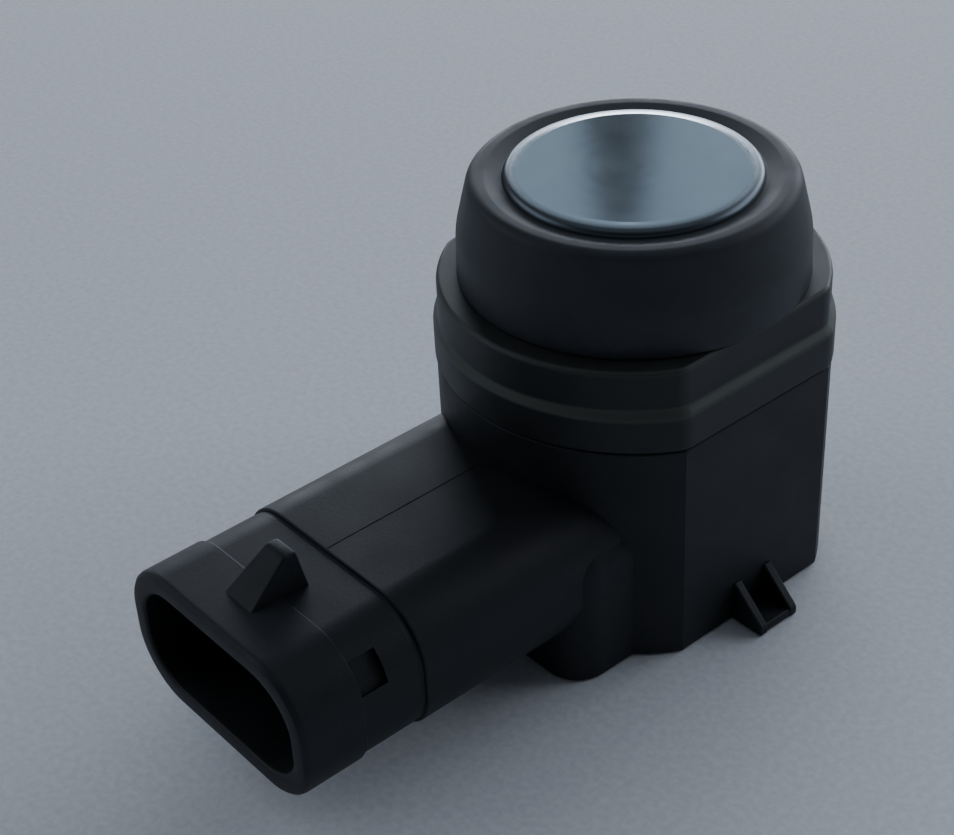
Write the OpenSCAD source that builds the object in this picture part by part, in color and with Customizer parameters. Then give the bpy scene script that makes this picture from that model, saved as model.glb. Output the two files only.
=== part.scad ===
// Right-angle ultrasonic parking sensor with a three-way connector socket.
// The origin lies on the sensor's axis at the level of its base. +Z points along the axis to the
// membrane, -Y points out of the connector and the mounting clips stand on the two X sides.

/* [Body] */
// Radius of the round body
body_r = 12.6; // [12.3:0.05:12.9]
// Distance from the axis to each flat side
flat_x = 11; // [10.8:0.05:11.4]
// Height of the body up to the collar's seam
body_h = 16; // [15:0.25:18]
// Radius of the bore that holds the electronics
bore_r = 9.6; // [9.3:0.1:9.8]
// Width and depth of the rebate that shows as a dark line at the seam
seam = 0.2; // [0.15:0.05:0.4]

/* [Root block] */
// Width of the block that carries the connector
root_w = 18; // [17.6:0.2:19]
// Height of the block
root_h = 10.3; // [9:0.1:11.5]
// Distance from the axis to the block's front
root_y = 13.8; // [13.2:0.1:15]
// Radius of the block's top and front edges
root_edge = 2.2; // [1:0.1:3]

/* [Connector] */
// Width of the connector shell
conn_w = 17.2; // [16.4:0.1:17.6]
// Height of the connector shell
conn_h = 9.6; // [9:0.1:10.2]
// Corner radius of the shell
conn_edge = 3.9; // [3:0.1:4.4]
// Height of the connector's axis above the base
conn_z = 7.6; // [7:0.1:8.4]
// Distance from the sensor's axis to the mouth
mouth_y = 33.7; // [32.5:0.1:36]
// Wall of the shell round the socket
conn_wall = 1.3; // [1:0.05:1.5]
// Depth of the socket
socket_depth = 13; // [12:0.25:14]
// Length of the raised band at the mouth
band_len = 4.4; // [3.8:0.1:4.8]
// Distance from the axis to the line round the shell behind the latch
line_y = 24.9; // [24:0.1:25.5]
// Width of that line
line_w = 0.3; // [0.2:0.05:0.5]
// Step in the shell between the line and the band
skin_step = 0.15; // [0.1:0.05:0.25]
// Depth of that line
line_d = 0.3; // [0.2:0.05:0.5]
// Depth of the keying pockets on the shell's shoulders
pocket_depth = 0.5; // [0.3:0.05:0.6]
// Length of a keying pocket along the shell
pocket_len = 1.9; // [1.5:0.1:2.2]
// Height of a keying pocket
pocket_h = 1.9; // [1.5:0.1:2.4]

/* [Latch] */
// Width of the latch ramp where it leaves the shell
latch_w = 2.8; // [2.4:0.1:4]
// Width of its crest
latch_crest_w = 1.9; // [1.5:0.1:2.5]
// Height of the crest above the shell
latch_h = 2.2; // [1.8:0.1:2.5]
// Length of the ramp
latch_ramp = 2.9; // [2:0.1:3.2]
// Length of the crest
latch_crest = 0.8; // [0.5:0.1:1.2]
// Distance from the sensor's axis to the catch face at the back
latch_y = 27.4; // [26.5:0.1:28]
// How far the catch face leans towards the mouth
latch_lean = 0.3; // [0.1:0.05:0.5]

/* [Clips] */
// Width of each side clip
clip_w = 3.4; // [3:0.1:5]
// Height at which the clip's ribs leave the flat side
clip_h = 3; // [2.5:0.1:5]
// How far the clip stands out of the flat side
clip_out = 2.4; // [1.5:0.1:2.6]
// Thickness of each rib
clip_rib = 0.65; // [0.5:0.05:1]
// Height of the bar across the foot of the ribs
clip_bar = 0.7; // [0.6:0.05:1.2]

/* [Collar] */
// Radius of the band above the seam
band_r = 12.7; // [12.5:0.05:13]
// Height of the band up to its sloped ledge
band_h = 2.35; // [2:0.05:3]
// Height of the ledge
ledge_h = 0.45; // [0.3:0.05:0.6]
// Radius of the lip above the ledge
lip_r = 12.45; // [12.2:0.05:12.6]
// Distance from the axis to the lip's flat sides
lip_flat_x = 10.6; // [10.4:0.05:11]
// Height of the lip
lip_h = 2.7; // [2.2:0.1:3]
// Radius of the lip's top edge
lip_round = 0.35; // [0.2:0.05:0.6]
// Radius of the pegs that locate the collar
peg_r = 0.45; // [0.35:0.05:0.5]
// Height of the pegs
peg_h = 1.2; // [0.8:0.1:1.6]

/* [Decoupling ring] */
// Radius of the part that passes down through the collar
spigot_r = 9.6; // [9.4:0.05:9.8]
// How far the foot stands out under the collar
foot_step = 0.5; // [0.4:0.05:0.6]
// Height of the foot
foot_h = 2; // [1.6:0.1:2.3]
// Radius of the skirt where it sits on the collar
skirt_r = 11.05; // [10.8:0.05:11.2]
// Radius where the side turns in
waist_r = 10.95; // [10.6:0.01:11]
// Height of that turn above the collar
waist_h = 3.2; // [2.6:0.1:4]
// Height of the top lip above the collar
ring_h = 6.55; // [6.2:0.05:7]
// Radius of the rounded top lip
ring_lip = 0.65; // [0.5:0.05:0.75]
// Outer radius of the top lip
ring_top_r = 10.15; // [10:0.05:10.3]
// Depth of the dished slope from the lip down to the membrane
dish_d = 0.4; // [0.25:0.05:0.6]
// Radius of the hole through the ring's floor
floor_r = 6; // [5.5:0.1:6.5]
// Thickness of the floor under the transducer
floor_t = 3; // [2.6:0.1:3.4]

/* [Transducer] */
// Radius of the aluminium pot
pot_r = 8; // [7.9:0.05:8.05]
// How far the membrane stands above the ring's lip
membrane_up = 0.3; // [0.1:0.05:0.5]
// Thickness of the membrane
membrane_t = 0.9; // [0.7:0.05:1.1]
// Rounding of the membrane's edge
rim_round = 0.8; // [0.5:0.05:0.9]
// Radius of the pot's cavity
cavity_r = 6.8; // [6.5:0.05:7]
// Width of the cavity across its two flat walls
cavity_w = 9.2; // [8.8:0.1:10]
// Depth and height of the groove that locks the pot in the ring
lock = 0.45; // [0.3:0.05:0.6]
// Height of that groove above the pot's foot
lock_z = 1.2; // [1:0.1:1.6]
// Radius of the piezo disc
piezo_r = 3.6; // [3.2:0.1:4]
// Thickness of the piezo disc
piezo_t = 0.4; // [0.3:0.05:0.5]
// Thickness of the damping pad behind the disc
pad_t = 3.6; // [3:0.1:4]

/* [Electronics] */
// Height of the potting compound under the board
potting_h = 3.4; // [3:0.1:3.8]
// Thickness of the circuit board
board_t = 1; // [0.8:0.1:1.2]
// Gap between the board and the bore
board_gap = 0.15; // [0.1:0.05:0.25]
// Width of the terminal blades
blade_w = 1.5; // [1.2:0.05:1.6]
// Thickness of the terminal blades
blade_t = 0.6; // [0.5:0.05:0.7]
// Distance between neighbouring blades
blade_pitch = 4; // [3.6:0.1:4.2]
// Length of blade that stands in the socket
blade_reach = 8; // [7:0.25:8.5]
// Distance from the axis to where the blades turn down
blade_turn_y = 7.2; // [7:0.1:7.6]
// Inner radius of that turn
blade_bend = 0.5; // [0.3:0.05:0.7]
// Radius of the two transducer leads
lead_r = 0.3; // [0.2:0.05:0.35]
// Distance of each lead from the middle plane
lead_x = 1.1; // [1:0.05:1.4]
// Radius of the transformer's core
core_r = 2.7; // [2.4:0.1:2.8]
// Height of the transformer's core
core_h = 4.6; // [4:0.1:5.5]
// Thickness of the core's two flanges
core_flange = 0.8; // [0.6:0.05:1]
// Radius of the core's post
core_post_r = 1.2; // [1:0.05:1.4]
// Thickness of the transformer's base
bobbin_t = 1; // [0.8:0.1:1.2]
// Side of the control chip
chip_w = 5; // [4.4:0.1:5.2]
// Height of the control chip
chip_t = 0.9; // [0.7:0.05:1.1]
// Radius of the storage capacitor
can_r = 2; // [1.8:0.05:2.1]
// Height of the storage capacitor
can_h = 5.4; // [5:0.1:6]

/* [Hidden] */
$fn = 96;
eps = 0.01;
over = 1;
far = 60;
SIDES = [-1, 1];
SLOTS = [-1, 0, 1];
HALF_TURNS = [0, 180];
PEG_TURNS = [45, 135, 225, 315];
seam_z = body_h;
collar_h = band_h + ledge_h + lip_h;
collar_z = seam_z + collar_h;
foot_r = spigot_r + foot_step;
ring_z = collar_z + ring_h;
pot_z = seam_z + floor_t;
membrane_z = ring_z + membrane_up;
cavity_z = membrane_z - membrane_t;
piezo_z = cavity_z - piezo_t;
pad_z = piezo_z - pad_t;
dish_z = ring_z - dish_d;
socket_y = mouth_y - socket_depth;
conn_top = conn_z + conn_h / 2;
board_z = potting_h + board_t;
peg_at = (foot_r + body_r) / 2;
peg_gap = 0.05;
lead_y = -1;
core_x = 4.4;
core_y = 3.4;
bobbin_w = 6.4;
bobbin_d = 5.4;
bobbin_edge = 0.6;
winding_gap = 0.3;
chip_x = -3.7;
chip_y = 3.7;
can_x = -4;
can_y = -2.8;
capacitor_size = [1.6, 0.8, 0.8];
capacitor_at = [1.6, -3.4];
capacitor_pitch = 1.3;
capacitor_rows = [0:2];
resistor_size = [1, 0.5, 0.35];
resistor_at = [5.4, -0.9];
resistor_pitch = 1.1;
resistor_rows = [0:3];

// Round plan with a flat on each X side
module flat_round(r, flat, h) {
    linear_extrude(h) intersection() {
        circle(r);
        square([2 * flat, 2 * r + over], center = true);
    }
}

// Rectangle with true arcs at its corners
module soft_rect(w, h, r) {
    square([w - 2 * r, h], center = true);
    square([w, h - 2 * r], center = true);
    for (sx = SIDES, sy = SIDES)
        translate([sx * (w / 2 - r), sy * (h / 2 - r)]) circle(r);
}

// Runs a flat shape along -Y, from y = -from to y = -to, with its own Y pointing up
module along_connector(from, to) {
    translate([0, -from, 0]) rotate([90, 0, 0]) linear_extrude(to - from) children();
}

// The connector's section, brought in by inset
module conn_section(inset) {
    translate([0, conn_z])
        soft_rect(conn_w - 2 * inset, conn_h - 2 * inset, conn_edge - inset);
}

// Shell of the connector: full at the root, a little slimmer behind the mouth band
module connector() {
    along_connector(0, line_y) conn_section(0);
    along_connector(line_y, line_y + line_w) conn_section(line_d);
    along_connector(line_y + line_w, mouth_y - band_len) conn_section(skin_step);
    along_connector(mouth_y - band_len, mouth_y) conn_section(0);
}

// Shallow pocket on each upper shoulder of the connector, behind the mouth band
module keying_pockets() {
    front = mouth_y - band_len;
    intersection() {
        along_connector(front - pocket_len, front) difference() {
            conn_section(-over);
            conn_section(skin_step + pocket_depth);
        }
        for (side = SIDES)
            translate([side * conn_w / 2, -front + pocket_len / 2, conn_top - conn_edge + pocket_h])
                cube([conn_edge, pocket_len, pocket_h], center = true);
    }
}

// Block at the foot of the body that the connector grows out of
module root_block() {
    intersection() {
        along_connector(0, root_y) translate([0, (root_h - root_edge) / 2])
            soft_rect(root_w, root_h + root_edge, root_edge);
        linear_extrude(root_h) translate([0, -(root_y - root_edge) / 2])
            soft_rect(root_w, root_y + root_edge, root_edge);
    }
}

// Catch on top of the connector: a ramp towards the mouth and a steep back
module latch() {
    crest_y = latch_y + latch_lean;
    ramp_y = crest_y + latch_crest;
    intersection() {
        translate([-latch_w / 2, 0, conn_top]) rotate([90, 0, 90]) linear_extrude(latch_w)
            polygon([[-latch_y, -conn_wall], [-latch_y, 0], [-crest_y, latch_h], [-ramp_y, latch_h],
                [-ramp_y - latch_ramp, 0], [-ramp_y - latch_ramp, -conn_wall]]);
        along_connector(latch_y, mouth_y) translate([0, conn_top])
            polygon([[-latch_w / 2, -conn_wall], [latch_w / 2, -conn_wall], [latch_w / 2, 0],
                [latch_crest_w / 2, latch_h], [-latch_crest_w / 2, latch_h], [-latch_w / 2, 0]]);
    }
}

// Retaining clip on the +X side: two ramped ribs joined by a bar at their feet
module clip() {
    root_x = flat_x - over;
    for (side = SIDES)
        translate([0, side * (clip_w - clip_rib) / 2, 0]) rotate([90, 0, 0])
            linear_extrude(clip_rib, center = true)
                polygon([[root_x, 0], [flat_x + clip_out, 0], [flat_x + clip_out, clip_bar],
                    [flat_x, clip_h], [root_x, clip_h]]);
    translate([root_x, -clip_w / 2, 0]) cube([over + clip_out, clip_w, clip_bar]);
}

// Places a child at each of the four corners between the flats and the round
module at_pegs() {
    for (turn = PEG_TURNS)
        rotate(turn) translate([peg_at, 0, seam_z]) children();
}

// Flat blade that runs back from its tapered tip and turns down into the board
module terminal(slot) {
    tip_y = socket_y + blade_reach;
    taper = blade_w / 2;
    outer = blade_bend + blade_t;
    turn_y = blade_turn_y + outer;
    color("#b9a46a") translate([slot * blade_pitch, 0, 0]) {
        translate([0, 0, conn_z - blade_t / 2]) linear_extrude(blade_t)
            polygon([[-blade_w / 2, -turn_y], [-blade_w / 2, taper - tip_y], [-blade_w / 4, -tip_y],
                [blade_w / 4, -tip_y], [blade_w / 2, taper - tip_y], [blade_w / 2, -turn_y]]);
        intersection() {
            translate([0, -turn_y, conn_z + blade_t / 2 - outer]) rotate([0, 90, 0]) difference() {
                cylinder(r = outer, h = blade_w, center = true);
                cylinder(r = blade_bend, h = far, center = true);
            }
            translate([-far / 2, -turn_y, conn_z + blade_t / 2 - outer]) cube([far, outer, outer]);
        }
        translate([-blade_w / 2, -blade_turn_y - blade_t, potting_h])
            cube([blade_w, blade_t, conn_z + blade_t / 2 - outer - potting_h]);
    }
}

// Places a child at each terminal's slot in the flat blade section
module blade_slots(from, to) {
    for (slot = SLOTS)
        along_connector(from, to) translate([slot * blade_pitch, conn_z])
            square([blade_w, blade_t], center = true);
}

// One moulding: body, connector, latch, clips and the collar's locating pegs
module housing() {
    color("#16181a") difference() {
        union() {
            flat_round(body_r, flat_x, body_h - seam);
            flat_round(body_r - seam, flat_x - seam, body_h);
            root_block();
            connector();
            latch();
            for (turn = HALF_TURNS) rotate(turn) clip();
            at_pegs() translate([0, 0, -over]) cylinder(r = peg_r, h = over + peg_h);
        }
        translate([0, 0, -over]) cylinder(r = bore_r, h = far);
        along_connector(socket_y, mouth_y + over) conn_section(conn_wall);
        blade_slots(0, socket_y + eps);
        keying_pockets();
    }
}

// Outline of the collar on its round side, from the axis: band, sloped ledge and lip
module collar_outline() {
    polygon([[0, 0], [band_r, 0], [band_r, band_h], [lip_r, band_h + ledge_h], [lip_r, collar_h - lip_round],
        [lip_r - lip_round, collar_h], [0, collar_h]]);
    translate([lip_r - lip_round, collar_h - lip_round]) circle(lip_round);
}

// What the +X flat takes off the collar, with the same ledge and an eased top edge
module collar_flat() {
    rotate([90, 0, 0]) linear_extrude(far, center = true)
        polygon([[flat_x, -over], [flat_x, band_h], [lip_flat_x, band_h + ledge_h],
            [lip_flat_x, collar_h - lip_round], [lip_flat_x - lip_round, collar_h],
            [lip_flat_x - lip_round, collar_h + over], [far, collar_h + over], [far, -over]]);
}

// Moulded collar that traps the ring's foot on top of the housing
module retaining_collar() {
    color("#1d1f1e") translate([0, 0, seam_z]) difference() {
        rotate_extrude() collar_outline();
        for (turn = HALF_TURNS) rotate(turn) collar_flat();
        translate([0, 0, -over]) cylinder(r = foot_r, h = foot_h + over);
        cylinder(r = spigot_r, h = far);
        translate([0, 0, -seam_z]) at_pegs() translate([0, 0, -over])
            cylinder(r = peg_r + peg_gap, h = over + peg_h + peg_gap);
    }
}

// Silicone ring that holds the transducer and keeps its vibration out of the body
module decoupling_ring() {
    color("#202326") rotate_extrude() difference() {
        union() {
            polygon([[floor_r, seam_z], [foot_r, seam_z], [foot_r, seam_z + foot_h],
                [spigot_r, seam_z + foot_h], [spigot_r, collar_z], [skirt_r, collar_z],
                [waist_r, collar_z + waist_h], [ring_top_r, ring_z - ring_lip],
                [ring_top_r - ring_lip, ring_z], [pot_r, dish_z], [floor_r, dish_z]]);
            translate([ring_top_r - ring_lip, ring_z - ring_lip]) circle(ring_lip);
        }
        difference() {
            translate([0, pot_z]) square([pot_r, far]);
            translate([pot_r - lock, pot_z + lock_z]) square([lock + over, lock]);
        }
    }
}

// Plan of the pot's cavity: round, with two flat walls
module cavity_plan() {
    intersection() {
        circle(cavity_r);
        square([2 * cavity_r, cavity_w], center = true);
    }
}

// Deep-drawn aluminium pot whose closed top is the membrane
module transducer_pot() {
    color("#a9b4ba") difference() {
        rotate_extrude() union() {
            polygon([[0, pot_z], [pot_r, pot_z], [pot_r, pot_z + lock_z], [pot_r - lock, pot_z + lock_z],
                [pot_r - lock, pot_z + lock_z + lock], [pot_r, pot_z + lock_z + lock],
                [pot_r, membrane_z - rim_round], [pot_r - rim_round, membrane_z], [0, membrane_z]]);
            translate([pot_r - rim_round, membrane_z - rim_round]) circle(rim_round);
        }
        translate([0, 0, pot_z - over]) linear_extrude(cavity_z - pot_z + over) cavity_plan();
    }
}

// Ceramic disc bonded to the inside of the membrane
module piezo_disc() {
    color("#c8b98a") translate([0, 0, piezo_z]) cylinder(r = piezo_r, h = piezo_t);
}

// Holes for the two leads
module lead_holes() {
    for (side = SIDES)
        translate([side * lead_x, lead_y, 0]) cylinder(r = lead_r, h = far);
}

// Foam pad that damps the back of the disc
module damping_pad() {
    color("#8d8f7c") difference() {
        translate([0, 0, pad_z]) linear_extrude(pad_t) cavity_plan();
        lead_holes();
    }
}

// Silicone plug that seals the pot's open end
module pot_seal() {
    color("#3d4247") difference() {
        translate([0, 0, pot_z]) linear_extrude(pad_z - pot_z) cavity_plan();
        lead_holes();
    }
}

// Insulated wire from the board to the disc
module lead(side, tint) {
    color(tint) translate([side * lead_x, lead_y, board_z]) cylinder(r = lead_r, h = piezo_z - board_z);
}
module lead_signal() { lead(-1, "#a8352c"); }
module lead_ground() { lead(1, "#2a2c2e"); }

// Round glass-fibre board, drilled for the terminals' tails
module circuit_board() {
    color("#1f6b3f") difference() {
        translate([0, 0, potting_h]) cylinder(r = bore_r - board_gap, h = board_t);
        for (slot = SLOTS)
            translate([slot * blade_pitch - blade_w / 2, -blade_turn_y - blade_t, 0])
                cube([blade_w, blade_t, far]);
    }
}

// Chip that times the pulses and reads the echoes
module control_chip() {
    color("#26282b") translate([chip_x - chip_w / 2, chip_y - chip_w / 2, board_z])
        cube([chip_w, chip_w, chip_t]);
}

// Ferrite drum of the drive transformer
module transformer_core() {
    color("#45484b") translate([core_x, core_y, board_z + bobbin_t]) rotate_extrude()
        polygon([[0, 0], [core_r, 0], [core_r, core_flange], [core_post_r, core_flange],
            [core_post_r, core_h - core_flange], [core_r, core_h - core_flange], [core_r, core_h],
            [0, core_h]]);
}

// Enamelled wire wound between the core's flanges
module transformer_winding() {
    color("#a8622f") translate([core_x, core_y, board_z + bobbin_t + core_flange]) difference() {
        cylinder(r = core_r - winding_gap, h = core_h - 2 * core_flange);
        translate([0, 0, -over]) cylinder(r = core_post_r, h = core_h);
    }
}

// Moulded base that carries the core on the board
module transformer_bobbin() {
    color("#2b2d30") translate([core_x, core_y, board_z]) linear_extrude(bobbin_t)
        soft_rect(bobbin_w, bobbin_d, bobbin_edge);
}

// Can that stores the charge for each pulse
module storage_capacitor() {
    color("#9aa3aa") translate([can_x, can_y, board_z]) cylinder(r = can_r, h = can_h);
}

// Row of small parts on the board, from the centre of the first one
module small_parts(size, at, pitch, rows) {
    for (row = rows)
        translate([at[0], at[1] - pitch * row, board_z + size[2] / 2]) cube(size, center = true);
}
module ceramic_capacitors() {
    color("#b58d5c") small_parts(capacitor_size, capacitor_at, capacitor_pitch, capacitor_rows);
}
module chip_resistors() {
    color("#18191b") small_parts(resistor_size, resistor_at, resistor_pitch, resistor_rows);
}

module terminal_left() { terminal(-1); }
module terminal_middle() { terminal(0); }
module terminal_right() { terminal(1); }

// Cast resin that closes the bore from below and bonds the board
module potting_fill() {
    color("#0f1011") cylinder(r = bore_r, h = potting_h);
}

housing();
retaining_collar();
decoupling_ring();
transducer_pot();
piezo_disc();
damping_pad();
pot_seal();
lead_signal();
lead_ground();
circuit_board();
control_chip();
transformer_core();
transformer_winding();
transformer_bobbin();
storage_capacitor();
ceramic_capacitors();
chip_resistors();
terminal_left();
terminal_middle();
terminal_right();
potting_fill();
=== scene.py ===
import math

import bmesh
import bpy
from mathutils import Matrix, Vector


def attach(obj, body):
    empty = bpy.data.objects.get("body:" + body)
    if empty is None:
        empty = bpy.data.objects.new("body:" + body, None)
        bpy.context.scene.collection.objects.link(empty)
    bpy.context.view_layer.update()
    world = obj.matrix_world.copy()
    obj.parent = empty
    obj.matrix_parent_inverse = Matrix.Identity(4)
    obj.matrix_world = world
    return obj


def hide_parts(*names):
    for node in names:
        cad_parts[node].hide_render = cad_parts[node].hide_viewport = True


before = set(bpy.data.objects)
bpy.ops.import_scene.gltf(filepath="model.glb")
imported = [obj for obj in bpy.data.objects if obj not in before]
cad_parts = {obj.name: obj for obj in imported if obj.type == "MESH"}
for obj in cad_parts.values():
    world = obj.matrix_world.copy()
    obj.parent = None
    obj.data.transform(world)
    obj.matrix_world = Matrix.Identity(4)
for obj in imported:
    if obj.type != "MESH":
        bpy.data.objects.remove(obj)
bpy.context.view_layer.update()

# Housing: the black moulding that holds the electronics, ends in the connector socket and clips to its holder.
# Glass-filled polyester, injection moulded in a spark-eroded tool, so the skin is matt with a fine grain.
# Body, root block, connector shell, latch and clips are shaped one by one, joined, and then bored out.
MM = 0.001
UP, OUT = Vector((0, 0, 1)), Vector((0, -1, 0))
BODY_R, BODY_FLAT, BODY_TOP, BORE_R = 12.6, 11.0, 16.0, 9.6
BODY_CORNER, BODY_FOOT_EDGE, SEAM, SEAM_EDGE = 0.5, 0.3, 0.13, 0.12
# A step turns a corner in this length, and a loop of edges is picked within this distance of its place.
STEP, NEAR = 0.02, 0.005
# A face or an edge lies along an axis when its direction has more than this share of it.
ALONG = 0.9
# A shape that is joined or cut reaches this far into its neighbour, or past it.
OVERLAP = 1.0


def open_mesh(piece):
    """Opens one piece in edit mode, with nothing selected in it."""
    bpy.ops.object.select_all(action="DESELECT")
    piece.select_set(True)
    bpy.context.view_layer.objects.active = piece
    bpy.ops.object.mode_set(mode="EDIT")
    bpy.ops.mesh.select_all(action="DESELECT")


def close_mesh(piece, angle=20):
    """Turns the faces outwards, leaves edit mode and smooths what is flatter than the angle."""
    bpy.ops.mesh.select_all(action="SELECT")
    bpy.ops.mesh.normals_make_consistent(inside=False)
    bpy.ops.object.mode_set(mode="OBJECT")
    bpy.ops.object.shade_smooth_by_angle(angle=math.radians(angle))
    return piece


def added(name):
    """Names the primitive that was just added and puts its place and size into its mesh."""
    piece = bpy.context.object
    piece.name = piece.data.name = name
    bpy.ops.object.transform_apply(location=True, rotation=True, scale=True)
    return piece


def pick(piece, kind, test):
    """Selects the faces, edges or vertices whose middle, in millimetres, and direction pass the test."""
    bpy.ops.mesh.select_mode(type=kind)
    bpy.ops.mesh.select_all(action="DESELECT")
    mesh = bmesh.from_edit_mesh(piece.data)
    if kind == "FACE":
        parts = [(f, f.calc_center_median() / MM, f.normal) for f in mesh.faces]
    elif kind == "EDGE":
        parts = [(e, (e.verts[0].co + e.verts[1].co) / 2 / MM, (e.verts[1].co - e.verts[0].co).normalized())
                 for e in mesh.edges]
    else:
        parts = [(v, v.co / MM, v.normal) for v in mesh.verts]
    for part, middle, direction in parts:
        if test(middle, direction):
            part.select_set(True)
    bmesh.update_edit_mesh(piece.data)


def round_off(piece, test, width, segments=3):
    """Bevels the edges that pass the test."""
    pick(piece, "EDGE", test)
    bpy.ops.mesh.bevel(offset=width * MM, segments=segments, profile=0.5, affect="EDGES")


def at_height(z):
    """Gives the test for the loop of edges at one height."""
    return lambda middle, direction: abs(middle.z - z) < NEAR


def sweep(profile, along, centre=(0, 0, 0)):
    """Carries the selected face through (distance, half width, half height) points, in millimetres."""
    for (at, wide, high), (to, new_wide, new_high) in zip(profile, profile[1:]):
        bpy.ops.mesh.extrude_region_move(TRANSFORM_OT_translate={"value": along * (to - at) * MM})
        across, over = new_wide / wide, new_high / high
        scale = (across, over, 1) if along == UP else (across, 1, over)
        bpy.ops.transform.resize(value=scale, center_override=centre)


def flat_round(name, radius, flat, z, corner):
    """Adds a disc with a flat on each X side and eased corners, open in edit mode with its face selected."""
    bpy.ops.object.select_all(action="DESELECT")
    bpy.ops.mesh.primitive_circle_add(
        vertices=192, radius=radius * MM, fill_type="NGON", location=(0, 0, z * MM))
    piece = added(name)
    open_mesh(piece)
    for side in (-1, 1):
        bpy.ops.mesh.select_all(action="SELECT")
        bpy.ops.mesh.bisect(plane_co=(side * flat * MM, 0, 0), plane_no=(side, 0, 0), clear_outer=True)
    edge_y = math.sqrt(radius ** 2 - flat ** 2)
    pick(piece, "VERT", lambda p, n: abs(abs(p.x) - flat) < 0.01 and abs(abs(p.y) - edge_y) < 0.05)
    bpy.ops.mesh.bevel(offset=corner * MM, segments=3, profile=0.5, affect="VERTICES")
    bpy.ops.mesh.select_mode(type="FACE")
    bpy.ops.mesh.select_all(action="SELECT")
    return piece


housing = flat_round("housing_moulding", BODY_R, BODY_FLAT, 0, BODY_CORNER)
seam_z = BODY_TOP - SEAM
sweep([(0, BODY_FLAT, BODY_R), (seam_z, BODY_FLAT, BODY_R),
       (seam_z + STEP, BODY_FLAT - SEAM, BODY_R - SEAM), (BODY_TOP, BODY_FLAT - SEAM, BODY_R - SEAM)], UP)
round_off(housing, at_height(0), BODY_FOOT_EDGE)
round_off(housing, at_height(seam_z), SEAM_EDGE, 2)
close_mesh(housing)

# The root block, whose front and top edges are well rounded where the connector leaves the body.
ROOT_W, ROOT_H, ROOT_Y, ROOT_LIFT = 18.0, 10.3, 13.8, 0.03
ROOT_EDGE, ROOT_FOOT_EDGE = 2.4, 0.25


def block(name, low, high):
    """Adds a box between two corners given in millimetres."""
    bpy.ops.object.select_all(action="DESELECT")
    low, high = Vector(low), Vector(high)
    bpy.ops.mesh.primitive_cube_add(size=1, location=(low + high) / 2 * MM)
    bpy.context.object.scale = (high - low) * MM
    return added(name)


def front_or_top(middle, direction):
    """Passes the root block's edges at its front and its top, apart from the one inside the body."""
    front, over = middle.y < -1, middle.z > 1
    return ((abs(direction.x) > ALONG and front and over) or (abs(direction.y) > ALONG and over)
            or (abs(direction.z) > ALONG and front))


root = block("root", (-ROOT_W / 2, -ROOT_Y, ROOT_LIFT), (ROOT_W / 2, 0, ROOT_H))
open_mesh(root)
round_off(root, front_or_top, ROOT_EDGE, 8)
round_off(root, at_height(ROOT_LIFT), ROOT_FOOT_EDGE)
close_mesh(root)

# The connector shell, carried out from the body past the step line and the band, and back in as the socket.
CONN_W, CONN_H, CONN_EDGE, CONN_Z, CONN_FROM = 17.2, 9.6, 3.9, 7.6, 2.0
MOUTH_Y, SOCKET_Y, WALL = 33.7, 20.7, 1.3
LINE_Y, LINE_W, LINE_D, BAND_Y, SKIN = 24.9, 0.3, 0.17, 29.3, 0.15
bpy.ops.object.select_all(action="DESELECT")
bpy.ops.mesh.primitive_plane_add(
    size=1, location=(0, -CONN_FROM * MM, CONN_Z * MM), rotation=(math.pi / 2, 0, 0))
bpy.context.object.scale = (CONN_W * MM, CONN_H * MM, 1)
shell = added("shell")
open_mesh(shell)
bpy.ops.mesh.select_mode(type="VERT")
bpy.ops.mesh.select_all(action="SELECT")
bpy.ops.mesh.bevel(offset=CONN_EDGE * MM, segments=14, profile=0.5, affect="VERTICES")
bpy.ops.mesh.select_mode(type="FACE")
bpy.ops.mesh.select_all(action="SELECT")
shell_steps = [(CONN_FROM, 0), (LINE_Y, 0), (LINE_Y + STEP, LINE_D), (LINE_Y + LINE_W, LINE_D),
               (LINE_Y + LINE_W + STEP, SKIN), (BAND_Y - STEP, SKIN), (BAND_Y, 0), (MOUTH_Y, 0),
               (MOUTH_Y - STEP, WALL), (SOCKET_Y, WALL)]
sweep([(y, CONN_W / 2 - inset, CONN_H / 2 - inset) for y, inset in shell_steps], OUT, (0, 0, CONN_Z * MM))
for loop_y, width in ((LINE_Y, 0.13), (LINE_Y + LINE_W + STEP, 0.06), (BAND_Y, 0.12), (MOUTH_Y, 0.5),
                      (MOUTH_Y - STEP, 0.3), (SOCKET_Y, 0.5)):
    round_off(shell, lambda p, d, y=loop_y: abs(p.y + y) < NEAR, width)
close_mesh(shell)

# The latch on top of the connector, a ramp that narrows to a short crest.
LATCH_W, LATCH_CREST_W, LATCH_H, LATCH_BACK, LATCH_FOOT = 2.8, 1.9, 2.2, 27.4, 31.4
LATCH_CREST, LATCH_LEAN, LATCH_EDGE = 0.8, 0.3, 0.22
top = CONN_Z + CONN_H / 2
latch = block("latch", (-LATCH_W / 2, -LATCH_FOOT, top - OVERLAP), (LATCH_W / 2, -LATCH_BACK, top))
open_mesh(latch)
pick(latch, "FACE", lambda p, n: n.z > ALONG)
bpy.ops.mesh.extrude_region_move(TRANSFORM_OT_translate={"value": (0, 0, LATCH_H * MM)})
bpy.ops.transform.resize(value=(LATCH_CREST_W / LATCH_W, LATCH_CREST / (LATCH_FOOT - LATCH_BACK), 1),
                         center_override=(0, -LATCH_BACK * MM, 0))
bpy.ops.transform.translate(value=(0, -LATCH_LEAN * MM, 0))
round_off(latch, lambda p, d: p.z > top + NEAR, LATCH_EDGE)
close_mesh(latch)

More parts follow.
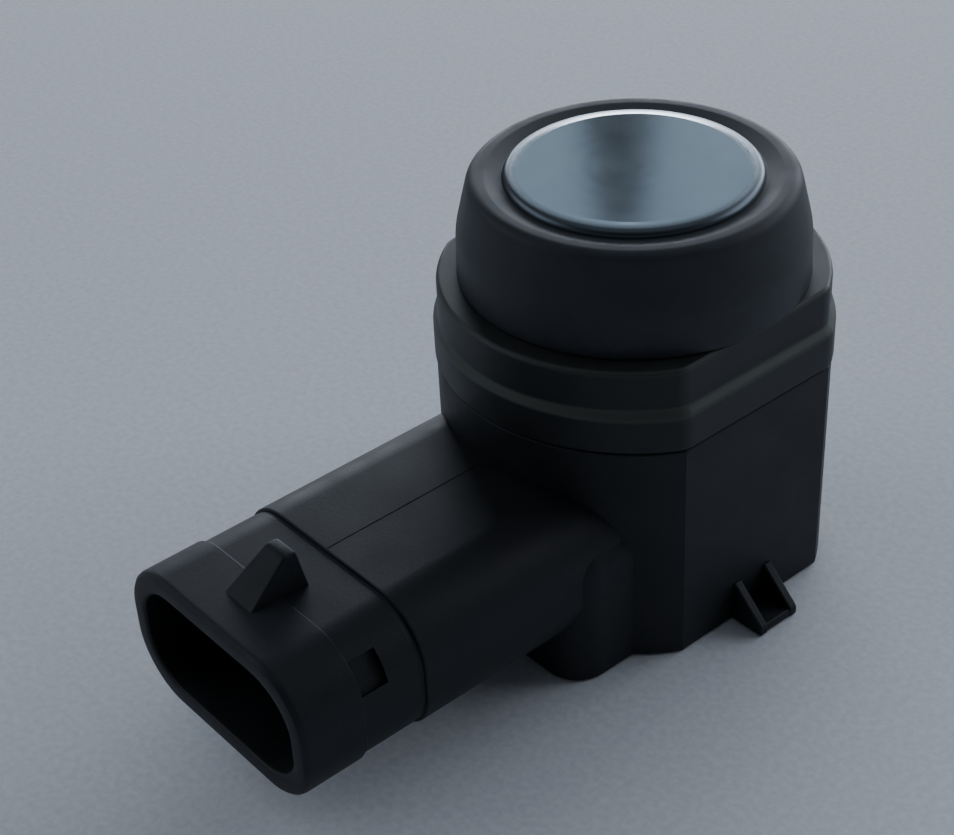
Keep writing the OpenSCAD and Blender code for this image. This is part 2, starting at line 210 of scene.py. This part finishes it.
# The clips, each of two ramped ribs with a bar between their feet. The far one is the near one turned round.
CLIP_W, CLIP_H, CLIP_OUT, CLIP_LIFT = 3.4, 3.0, 2.4, 0.05
CLIP_RIB, CLIP_BAR, RIB_EDGE, BAR_EDGE = 0.65, 0.7, 0.12, 0.15
BAR_IN_X, BAR_IN_Y, BAR_IN_Z = 0.05, 0.1, 0.02
clip_from, clip_clear, clip_tip = BODY_FLAT - OVERLAP, BODY_FLAT + 0.2, BODY_FLAT + CLIP_OUT
clips = []
for side in (-1, 1):
    y = side * (CLIP_W - CLIP_RIB) / 2
    rib = block("rib", (clip_from, y - CLIP_RIB / 2, CLIP_LIFT), (clip_tip, y + CLIP_RIB / 2, CLIP_BAR))
    open_mesh(rib)
    pick(rib, "FACE", lambda p, n: n.z > ALONG)
    bpy.ops.mesh.extrude_region_move(TRANSFORM_OT_translate={"value": (0, 0, (CLIP_H - CLIP_BAR) * MM)})
    bpy.ops.transform.resize(value=(OVERLAP / (OVERLAP + CLIP_OUT), 1, 1),
                             center_override=(clip_from * MM, 0, 0))
    round_off(rib, lambda p, d: p.x > clip_clear, RIB_EDGE, 2)
    clips.append(close_mesh(rib))
bar = block("bar", (clip_from, -CLIP_W / 2 + BAR_IN_Y, CLIP_LIFT),
            (clip_tip - BAR_IN_X, CLIP_W / 2 - BAR_IN_Y, CLIP_BAR - BAR_IN_Z))
open_mesh(bar)
round_off(bar, lambda p, d: abs(d.y) > ALONG and p.x > clip_clear, BAR_EDGE, 2)
clips.append(close_mesh(bar))
for clip in list(clips):
    far_clip = clip.copy()
    far_clip.data = clip.data.copy()
    bpy.context.collection.objects.link(far_clip)
    far_clip.data.transform(Matrix.Rotation(math.pi, 4, "Z"))
    clips.append(far_clip)


def combine(piece, other, how):
    """Joins another shape to a piece, or cuts it out, and deletes the other."""
    bpy.ops.object.select_all(action="DESELECT")
    bpy.context.view_layer.objects.active = piece
    bpy.ops.object.modifier_add(type="BOOLEAN")
    change = piece.modifiers[-1]
    change.operation, change.solver, change.object = how, "EXACT", other
    bpy.ops.object.modifier_apply(modifier=change.name)
    other.select_set(True)
    bpy.ops.object.delete()


def cylinder(name, radius, low, high):
    """Adds an upright cylinder on the sensor's axis between two heights."""
    bpy.ops.object.select_all(action="DESELECT")
    bpy.ops.mesh.primitive_cylinder_add(
        vertices=192, radius=radius * MM, depth=(high - low) * MM, location=(0, 0, (low + high) / 2 * MM))
    return added(name)


for part in (root, shell, latch, *clips):
    combine(housing, part, "UNION")
combine(housing, cylinder("bore", BORE_R, -OVERLAP, BODY_TOP + OVERLAP), "DIFFERENCE")

# A keying pocket in each upper corner of the connector, and the tool's parting line along its top.
POCKET_LEN, POCKET_H, POCKET_D, POCKET_LEAN = 1.9, 2.2, 0.5, math.radians(30)
POCKET_CUTTER = 2.0
for side in (-1, 1):
    bpy.ops.object.select_all(action="DESELECT")
    reach = CONN_EDGE - SKIN - POCKET_D + POCKET_CUTTER / 2
    spot = (side * (CONN_W / 2 - CONN_EDGE + reach * math.cos(POCKET_LEAN)), POCKET_LEN / 2 - BAND_Y,
            CONN_Z + CONN_H / 2 - CONN_EDGE + reach * math.sin(POCKET_LEAN))
    bpy.ops.mesh.primitive_cube_add(size=1, location=Vector(spot) * MM, rotation=(0, -side * POCKET_LEAN, 0))
    bpy.context.object.scale = (POCKET_CUTTER * MM, POCKET_LEN * MM, POCKET_H * MM)
    combine(housing, added("pocket"), "DIFFERENCE")
PARTING_X, PARTING_W, PARTING_D, PARTING_FROM, PARTING_TO = -0.3, 0.12, 0.02, 13.0, 25.0
combine(housing, block("parting", (PARTING_X - PARTING_W / 2, -PARTING_TO, top - PARTING_D),
                       (PARTING_X + PARTING_W / 2, -PARTING_FROM, top + OVERLAP)), "DIFFERENCE")


def merge_doubles():
    """Merges the points of the open mesh that fall on each other."""
    bpy.ops.mesh.select_all(action="SELECT")
    bpy.ops.mesh.remove_doubles(threshold=0.001 * MM)


def even_shading(piece):
    """Lets large faces keep their own direction beside narrow roundings."""
    bpy.ops.object.select_all(action="DESELECT")
    bpy.context.view_layer.objects.active = piece
    bpy.ops.object.modifier_add(type="WEIGHTED_NORMAL")
    change = piece.modifiers[-1]
    change.keep_sharp = True
    bpy.ops.object.modifier_apply(modifier=change.name)


JOINED_ANGLE = 18
open_mesh(housing)
merge_doubles()
close_mesh(housing, JOINED_ANGLE)
even_shading(housing)


def linear(colour):
    """Turns an sRGB hex colour into the linear values that the shader takes."""
    parts = [int(colour[i:i + 2], 16) / 255 for i in (1, 3, 5)]
    return [c / 12.92 if c <= 0.04045 else ((c + 0.055) / 1.055) ** 2.4 for c in parts] + [1]


def add(tree, kind, settings, links=()):
    """Adds a node with its settings, and links its inputs from (node, output) pairs."""
    node = tree.nodes.new("ShaderNode" + kind)
    for name, value in settings.items():
        if name in node.inputs:
            node.inputs[name].default_value = value
        else:
            setattr(node, name, value)
    for name, (source, output) in dict(links).items():
        tree.links.new(source.outputs[output], node.inputs[name])
    return node


def shading(name):
    """Starts a material and returns it with its tree, its shader and the object's own coordinates."""
    material = bpy.data.materials.new(name)
    material.use_nodes = True
    tree = material.node_tree
    place = add(tree, "TexCoord", {})
    return material, tree, tree.nodes["Principled BSDF"], (place, "Object")


def grained_skin(name, dark, light, rough, grain, relief, metal=False):
    """A skin with a fine grain, in millimetres, slow drifts of tone and a gloss that wanders a little."""
    material, tree, shader, place = shading(name)
    drift = add(tree, "TexNoise", {"Scale": 1 / (3.0 * MM), "Detail": 4.0, "Roughness": 0.6},
                {"Vector": place})
    speck = add(tree, "TexNoise", {"Scale": 1 / (grain * MM), "Detail": 3.0, "Roughness": 0.55},
                {"Vector": place})
    tone = add(tree, "ValToRGB", {}, {"Fac": (drift, "Fac")})
    tone.color_ramp.elements[0].position, tone.color_ramp.elements[1].position = 0.35, 0.68
    tone.color_ramp.elements[0].color, tone.color_ramp.elements[1].color = linear(dark), linear(light)
    gloss = add(tree, "MapRange", {"From Min": 0.3, "From Max": 0.7, "To Min": rough - 0.05,
                                   "To Max": rough + 0.07}, {"Value": (drift, "Fac")})
    skin = add(tree, "Bump", {"Strength": relief, "Distance": 0.03 * MM}, {"Height": (speck, "Fac")})
    tree.links.new(tone.outputs["Color"], shader.inputs["Base Color"])
    tree.links.new(gloss.outputs["Result"], shader.inputs["Roughness"])
    tree.links.new(skin.outputs["Normal"], shader.inputs["Normal"])
    if metal:
        shader.inputs["Metallic"].default_value = 1.0
    else:
        shader.inputs["IOR"].default_value = 1.46
    return material


def dress(piece, material, node):
    """Gives a finished piece its material and its body, and lets it stand for its node."""
    piece.data.materials.clear()
    piece.data.materials.append(material)
    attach(piece, "root")
    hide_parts(node)


# The eroded grain is about 0.05 mm on the real skin. It is drawn at 0.16 mm so that it shows.
material = grained_skin("Moulded black PBT", "#0a0e12", "#12181d", rough=0.55, grain=0.16, relief=0.35)
dress(housing, material, "housing")

# Retaining collar: the moulded ring that traps the silicone ring's foot and snaps on the housing above the seam.
# The same black polyester as the housing, but from a smoother tool, and its ledge and lip edge carry painted
# highlights.
# Band, ledge and lip are swept up in one go on a round plan with two flats, then it is bored for the ring.
BAND_R, LEDGE_LOW, LEDGE_HIGH, LIP_R, LIP_FLAT, LIP_TOP = 12.7, 18.35, 18.8, 12.45, 10.6, 21.5
SPIGOT_R, FOOT_R, FOOT_TOP = 9.6, 10.1, 18.0
collar = flat_round("collar_moulding", BAND_R, BODY_FLAT, BODY_TOP, BODY_CORNER)
sweep([(BODY_TOP, BODY_FLAT, BAND_R), (LEDGE_LOW, BODY_FLAT, BAND_R), (LEDGE_HIGH, LIP_FLAT, LIP_R),
       (LIP_TOP, LIP_FLAT, LIP_R)], UP)
for z, width, segments in ((BODY_TOP, SEAM_EDGE, 2), (LEDGE_LOW, 0.15, 3), (LEDGE_HIGH, 0.1, 3),
                           (LIP_TOP, 0.35, 4)):
    round_off(collar, at_height(z), width, segments)
close_mesh(collar)
combine(collar, cylinder("spigot_hole", SPIGOT_R, BODY_TOP - OVERLAP, LIP_TOP + OVERLAP), "DIFFERENCE")
combine(collar, cylinder("foot_hole", FOOT_R, BODY_TOP - OVERLAP, FOOT_TOP), "DIFFERENCE")
open_mesh(collar)
close_mesh(collar, JOINED_ANGLE)
even_shading(collar)
# The smoother tool's grain is under 0.05 mm, drawn at 0.2 mm so that it shows.
material = grained_skin("Smooth moulded black PBT", "#15181a", "#212424", rough=0.5, grain=0.2, relief=0.15)
# The ledge and the edge of the lip get painted highlights: paler strips that fade out over 0.2 to 0.3 mm.
tree, shader = material.node_tree, material.node_tree.nodes["Principled BSDF"]
tone = shader.inputs["Base Color"].links[0].from_node
height = add(tree, "SeparateXYZ", {}, {"Vector": (add(tree, "TexCoord", {}), "Object")})
share = add(tree, "MapRange", {"From Min": BODY_TOP * MM, "From Max": LIP_TOP * MM}, {"Value": (height, "Z")})
painted_highlight_strips = add(tree, "ValToRGB", {}, {"Fac": (share, "Result")})
painted_highlight_strips.color_ramp.elements.remove(painted_highlight_strips.color_ramp.elements[1])
for z, amount in ((BODY_TOP, 0.0), (LEDGE_LOW - 0.2, 0.0), (LEDGE_LOW, 1.0), (LEDGE_HIGH, 1.0),
                  (LEDGE_HIGH + 0.2, 0.0), (LIP_TOP - 0.4, 0.0), (LIP_TOP - 0.1, 0.7), (LIP_TOP, 0.2)):
    at = (z - BODY_TOP) / (LIP_TOP - BODY_TOP)
    stop = painted_highlight_strips.color_ramp.elements[0] if z == BODY_TOP else painted_highlight_strips.color_ramp.elements.new(at)
    stop.position, stop.color = at, (amount, amount, amount, 1)
# Painted highlight: the strips mix the skin's tone towards a pale grey-green on the ledge and the lip edge.
painted_highlight = add(tree, "MixRGB", {"Color2": linear("#474c46")},
             {"Fac": (painted_highlight_strips, "Color"), "Color1": (tone, "Color")})
tree.links.new(painted_highlight.outputs["Color"], shader.inputs["Base Color"])
dress(collar, material, "retaining_collar")

# Decoupling ring: soft silicone sleeve between the transducer and the rest, so the body doesn't ring with it.
# Black silicone rubber, moulded in one piece with a tapered side and a rounded lip that dishes to the membrane.
# Its outline is drawn once and turned about the sensor's axis.
RING_BORE_R, RING_SKIRT_R, RING_TOP = 6.0, 11.05, 28.05
RING_BELLY, RING_SHOULDER = (10.97, 24.5), (10.45, 26.7)
RING_LIP_OUT, RING_LIP_IN, DISH_Z, DISH_GAP = 10.12, 9.1, 27.85, 0.15
POT_R, POT_FOOT = 8.0, 19.0


def rounded(corners, steps=7):
    """Turns (across, up, radius) corners into a line with an arc at each corner that has a radius."""
    line = []
    for i, (x, z, radius) in enumerate(corners):
        here = Vector((x, z))
        if not radius:
            line.append(here)
            continue
        before = (Vector(corners[i - 1][:2]) - here).normalized()
        after = (Vector(corners[(i + 1) % len(corners)][:2]) - here).normalized()
        half = before.angle(after) / 2
        centre = here + (before + after).normalized() * radius / math.sin(half)
        first = here + before * radius / math.tan(half) - centre
        last = here + after * radius / math.tan(half) - centre
        turn = first.angle_signed(last)
        for k in range(steps + 1):
            line.append(centre + Matrix.Rotation(-turn * k / steps, 2) @ first)
    return line


def turned(name, line):
    """Draws a line of (across, up) points point by point and spins it round the sensor's axis."""
    bpy.ops.object.select_all(action="DESELECT")
    bpy.ops.mesh.primitive_plane_add(size=MM)
    piece = added(name)
    open_mesh(piece)
    bpy.ops.mesh.select_mode(type="VERT")
    bpy.ops.mesh.select_all(action="SELECT")
    bpy.ops.mesh.merge(type="CENTER")
    bpy.ops.transform.translate(value=(line[0].x * MM, 0, line[0].y * MM))
    for start, end in zip(line, line[1:]):
        step = (end - start) * MM
        bpy.ops.mesh.extrude_region_move(TRANSFORM_OT_translate={"value": (step.x, 0, step.y)})
    bpy.ops.mesh.select_all(action="SELECT")
    bpy.ops.mesh.spin(steps=160, angle=2 * math.pi, center=(0, 0, 0), axis=(0, 0, 1))
    merge_doubles()
    return close_mesh(piece)


ring_line = rounded([
    (RING_BORE_R, BODY_TOP, 0), (FOOT_R, BODY_TOP, 0), (FOOT_R, FOOT_TOP, 0), (SPIGOT_R, FOOT_TOP, 0),
    (SPIGOT_R, LIP_TOP, 0), (RING_SKIRT_R, LIP_TOP, 0.15), (*RING_BELLY, 6.0), (*RING_SHOULDER, 2.5),
    (RING_LIP_OUT, RING_TOP, 0.75), (RING_LIP_IN, RING_TOP, 0.8), (POT_R + DISH_GAP, DISH_Z, 0.15),
    (POT_R, DISH_Z, 0), (POT_R, POT_FOOT, 0), (RING_BORE_R, POT_FOOT, 0)])
ring = turned("silicone_sleeve", ring_line + ring_line[:1])
material, tree, shader, place = shading("Black silicone rubber")
# A matt skin with a slow haze of handling. Its dust is finer than 0.05 mm, drawn at 0.12 mm so that it shows.
haze = add(tree, "TexNoise", {"Scale": 1 / (2.2 * MM), "Detail": 5.0, "Roughness": 0.62}, {"Vector": place})
dust = add(tree, "TexNoise", {"Scale": 1 / (0.12 * MM), "Detail": 2.0, "Roughness": 0.5}, {"Vector": place})
tone = add(tree, "ValToRGB", {}, {"Fac": (haze, "Fac")})
tone.color_ramp.elements[0].position, tone.color_ramp.elements[1].position = 0.3, 0.75
tone.color_ramp.elements[0].color, tone.color_ramp.elements[1].color = linear("#282b2f"), linear("#373b3f")
gloss = add(tree, "MapRange", {"From Min": 0.3, "From Max": 0.7, "To Min": 0.52, "To Max": 0.64},
            {"Value": (haze, "Fac")})
skin = add(tree, "Bump", {"Strength": 0.2, "Distance": 0.03 * MM}, {"Height": (dust, "Fac")})
tree.links.new(tone.outputs["Color"], shader.inputs["Base Color"])
tree.links.new(gloss.outputs["Result"], shader.inputs["Roughness"])
tree.links.new(skin.outputs["Normal"], shader.inputs["Normal"])
shader.inputs["IOR"].default_value = 1.43
dress(ring, material, "decoupling_ring")

# Transducer pot: the cup whose closed end is the membrane that sends and hears the pulses.
# Aluminium, deep drawn and then turned on its face, with a satin finish and an eased edge.
# It presses into the silicone ring, where a groove near its foot locks it.
MEMBRANE_TOP, GROOVE_R, GROOVE_LOW, GROOVE_HIGH = 28.35, 7.55, 20.2, 20.65
FACE_R, FALL_R, FALL, EDGE_DROP = 6.9, 7.2, 0.03, 0.1
pot_line = rounded([
    (0, POT_FOOT, 0), (POT_R, POT_FOOT, 0.2), (POT_R, GROOVE_LOW, 0), (GROOVE_R, GROOVE_LOW, 0),
    (GROOVE_R, GROOVE_HIGH, 0), (POT_R, GROOVE_HIGH, 0), (POT_R, MEMBRANE_TOP - EDGE_DROP, 0.5),
    (FALL_R, MEMBRANE_TOP - FALL, 0.6), (FACE_R, MEMBRANE_TOP, 0.3), (0, MEMBRANE_TOP, 0)], 9)
pot = turned("membrane_pot", pot_line)
material, tree, shader, place = shading("Satin turned aluminium")
# Turning leaves rings about 0.05 mm apart, drawn at 0.2 mm so that they show, and handling leaves a faint cloud.
cloud = add(tree, "TexNoise", {"Scale": 1 / (3.5 * MM), "Detail": 4.0, "Roughness": 0.55}, {"Vector": place})
rings = add(tree, "TexWave", {"wave_type": "RINGS", "rings_direction": "Z", "Scale": 1 / (0.2 * MM) / 20,
                              "Distortion": 0.6, "Detail": 2.0}, {"Vector": place})
tone = add(tree, "ValToRGB", {}, {"Fac": (cloud, "Fac")})
tone.color_ramp.elements[0].position, tone.color_ramp.elements[1].position = 0.3, 0.7
tone.color_ramp.elements[0].color, tone.color_ramp.elements[1].color = linear("#b9c1c6"), linear("#c0c8cd")
gloss = add(tree, "MapRange", {"From Min": 0.3, "From Max": 0.7, "To Min": 0.11, "To Max": 0.13},
            {"Value": (cloud, "Fac")})
skin = add(tree, "Bump", {"Strength": 0.04, "Distance": 0.01 * MM}, {"Height": (rings, "Fac")})
# The drawn edge was not turned, so outside the turned face the metal grows rougher, and it is painted darker
# there as shade that keeps the rim from mirroring the lights.
DULL_FROM, DULL_TO, ROUGHER = 7.1, 7.6, 0.25
flat_place = add(tree, "VectorMath", {"operation": "MULTIPLY"}, {0: place})
flat_place.inputs[1].default_value = (1, 1, 0)
from_axis = add(tree, "VectorMath", {"operation": "LENGTH"}, {0: (flat_place, "Vector")})
edge = add(tree, "MapRange", {"From Min": DULL_FROM * MM, "From Max": DULL_TO * MM},
           {"Value": (from_axis, "Value")})
satin = add(tree, "Math", {"operation": "MULTIPLY_ADD"}, {0: (edge, "Result"), 2: (gloss, "Result")})
satin.inputs[1].default_value = ROUGHER
# Painted shade: the rim's tone is mixed towards a dark grey outside the turned face.
rim_painted_shade = add(tree, "MixRGB", {"Color2": linear("#596167")},
             {"Fac": (edge, "Result"), "Color1": (tone, "Color")})
tree.links.new(rim_painted_shade.outputs["Color"], shader.inputs["Base Color"])
tree.links.new(satin.outputs["Value"], shader.inputs["Roughness"])
tree.links.new(skin.outputs["Normal"], shader.inputs["Normal"])
shader.inputs["Metallic"].default_value = 1.0
dress(pot, material, "transducer_pot")

# Terminals, electronics and the transducer's inner parts: stock parts that the housing and the resin enclose.
# Stamped brass, laminate, ferrite, copper, ceramic and foam, soldered or bonded where the model has them.
# They keep the shapes of the model and get the tones, gloss and grain of each material.
INNER_RELIEF = 0.15
INNER = {
    "Stamped tinned brass": (("terminal_left", "terminal_middle", "terminal_right"),
                             "#8f8a78", "#a8a18a", 0.3, 0.4, True),
    "Glass-fibre laminate": (("circuit_board",), "#17512f", "#20693d", 0.4, 0.25, False),
    "Moulded epoxy": (("control_chip", "transformer_bobbin"), "#1c1d1f", "#27292c", 0.55, 0.1, False),
    "Sintered ferrite": (("transformer_core",), "#3a3c3e", "#4b4e50", 0.6, 0.08, False),
    "Enamelled copper": (("transformer_winding",), "#8a4a22", "#b26a33", 0.3, 0.12, True),
    "Drawn aluminium can": (("storage_capacitor",), "#99a1a7", "#b4bbc0", 0.3, 0.3, True),
    "Fired ceramic": (("ceramic_capacitors", "piezo_disc"), "#a88a5e", "#c2a577", 0.5, 0.06, False),
    "Glazed resistor": (("chip_resistors",), "#141516", "#202224", 0.35, 0.1, False),
    "Damping foam": (("damping_pad",), "#7c7e6c", "#96988a", 0.9, 0.3, False),
    "Sealing silicone": (("pot_seal",), "#34383c", "#454a4f", 0.5, 0.5, False),
    "Red PVC insulation": (("lead_signal",), "#8e2a23", "#b03a30", 0.4, 0.3, False),
    "Black PVC insulation": (("lead_ground",), "#1d1f20", "#2c2e30", 0.4, 0.3, False),
}
for name, (nodes, dark, light, rough, grain, metal) in INNER.items():
    material = grained_skin(name, dark, light, rough, grain, INNER_RELIEF, metal)
    for node in nodes:
        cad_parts[node].data.materials.clear()
        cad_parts[node].data.materials.append(material)

# Potting: resin poured into the upturned housing, which closes the bore and bonds the board.
# Black two-part polyurethane, self-levelled with a meniscus that climbs the wall, so its face is glossy.
# It is drawn as one line and turned.
RESIN_FACE, RESIN_TOP, MENISCUS_R, MENISCUS_LIP = 0.3, 3.4, 8.7, 0.02
potting_line = rounded([(0, RESIN_FACE, 0), (MENISCUS_R, RESIN_FACE, 0.7), (BORE_R, MENISCUS_LIP, 0),
                        (BORE_R, RESIN_TOP, 0), (0, RESIN_TOP, 0)])
potting = turned("resin_fill", potting_line)
material = grained_skin("Cast black resin", "#0c0d0f", "#141619", rough=0.22, grain=0.5, relief=0.05)
dress(potting, material, "potting_fill")

# Studio: a sheet of pale matt paper, a low window behind the sensor, a panel on each side, and a dim surrounding.
# The membrane mirrors two small cards behind it, and the narrow gap between them gives it a soft dark band.
# The camera stands where the photograph was taken from, above the sensor and off its connector's side.
bpy.ops.object.select_all(action="DESELECT")
bpy.ops.mesh.primitive_plane_add(size=4)
floor = added("floor")
material, tree, shader, place = shading("Pale matt paper")
fibre = add(tree, "TexNoise", {"Scale": 1 / (0.5 * MM), "Detail": 4.0, "Roughness": 0.6}, {"Vector": place})
tooth = add(tree, "Bump", {"Strength": 0.25, "Distance": 0.05 * MM}, {"Height": (fibre, "Fac")})
tone = add(tree, "ValToRGB", {}, {"Fac": (fibre, "Fac")})
tone.color_ramp.elements[0].position, tone.color_ramp.elements[1].position = 0.35, 0.65
tone.color_ramp.elements[0].color, tone.color_ramp.elements[1].color = linear("#e3e7ec"), linear("#f1f4f8")
tree.links.new(tone.outputs["Color"], shader.inputs["Base Color"])
tree.links.new(tooth.outputs["Normal"], shader.inputs["Normal"])
shader.inputs["Roughness"].default_value = 0.85
floor.data.materials.append(material)


def soft_box(name, place, aim, width, height, power, colour):
    """Adds an area light at a place, in metres, turned towards a point."""
    bpy.ops.object.select_all(action="DESELECT")
    bpy.ops.object.light_add(type="AREA", location=place)
    lamp = bpy.context.object
    lamp.name = name
    lamp.data.shape, lamp.data.size, lamp.data.size_y = "RECTANGLE", width, height
    lamp.data.energy, lamp.data.color = power, linear(colour)[:3]
    lamp.rotation_euler = (Vector(aim) - Vector(place)).to_track_quat("-Z", "Y").to_euler()


# Places are given by how far behind the sensor, to its right and up they are, as the camera sees it.
CARD, DAYLIGHT, FILL = "#cfe9ff", "#e9f1ff", "#e4ecfa"
MIDDLE = Vector((0, 0, 0))
behind, sideways = Vector((-0.712, 0.702, 0)), Vector((0.702, 0.712, 0))
membrane = Vector((0, 0, MEMBRANE_TOP * MM))
for name, shift in (("card_left", -0.1345), ("card_right", 0.1232)):
    soft_box(name, membrane + behind * 0.62 + sideways * shift + UP * 0.42, membrane, 0.25, 0.36, 0.13, CARD)
for name, back_by, right_by, up_by, width, height, power, colour in (
        ("window", 0.85, 0.12, 0.18, 1.0, 0.22, 6.0, DAYLIGHT),
        ("side_right", 0.4, 0.76, 0.46, 0.9, 0.5, 3.4, DAYLIGHT),
        ("side_left", 0.15, -0.85, 0.45, 0.9, 0.5, 1.7, DAYLIGHT),
        ("ceiling", 0.2, 0.0, 1.1, 1.3, 1.3, 1.6, FILL)):
    soft_box(name, behind * back_by + sideways * right_by + UP * up_by, MIDDLE, width, height, power, colour)
for name, turn in (("front_left", -10), ("front", 45), ("front_right", 100)):
    ahead = Vector((math.sin(math.radians(turn)), -math.cos(math.radians(turn)), 0.32))
    soft_box(name, ahead, MIDDLE, 0.95, 0.5, 0.2, FILL)

world = bpy.data.worlds.new("Dim room")
world.use_nodes = True
room = world.node_tree.nodes["Background"]
room.inputs["Color"].default_value = linear("#aeb9c6")
room.inputs["Strength"].default_value = 0.06
bpy.context.scene.world = world

AZIMUTH, ELEVATION, ROLL = (math.radians(angle) for angle in (51.02, 35.30, -3.16))
CAMERA_PLACE = Vector((74.27, -73.30, 83.87)) * MM
SENSOR_WIDTH, FOCAL_PIXELS, PHOTO_PIXELS = 36, 1934.5, 954
bpy.ops.object.camera_add()
camera = bpy.context.object
back = Vector((math.sin(AZIMUTH) * math.cos(ELEVATION), -math.cos(AZIMUTH) * math.cos(ELEVATION),
               math.sin(ELEVATION)))
level = Vector((math.cos(AZIMUTH), math.sin(AZIMUTH), 0))
upright = back.cross(level)
right = math.cos(ROLL) * level + math.sin(ROLL) * upright
high = -math.sin(ROLL) * level + math.cos(ROLL) * upright
camera.matrix_world = Matrix([(right[i], high[i], back[i], CAMERA_PLACE[i]) for i in range(3)] + [(0, 0, 0, 1)])
camera.data.sensor_width, camera.data.lens = SENSOR_WIDTH, SENSOR_WIDTH * FOCAL_PIXELS / PHOTO_PIXELS
camera.data.clip_start, camera.data.clip_end = 0.005, 20
bpy.context.scene.camera = camera
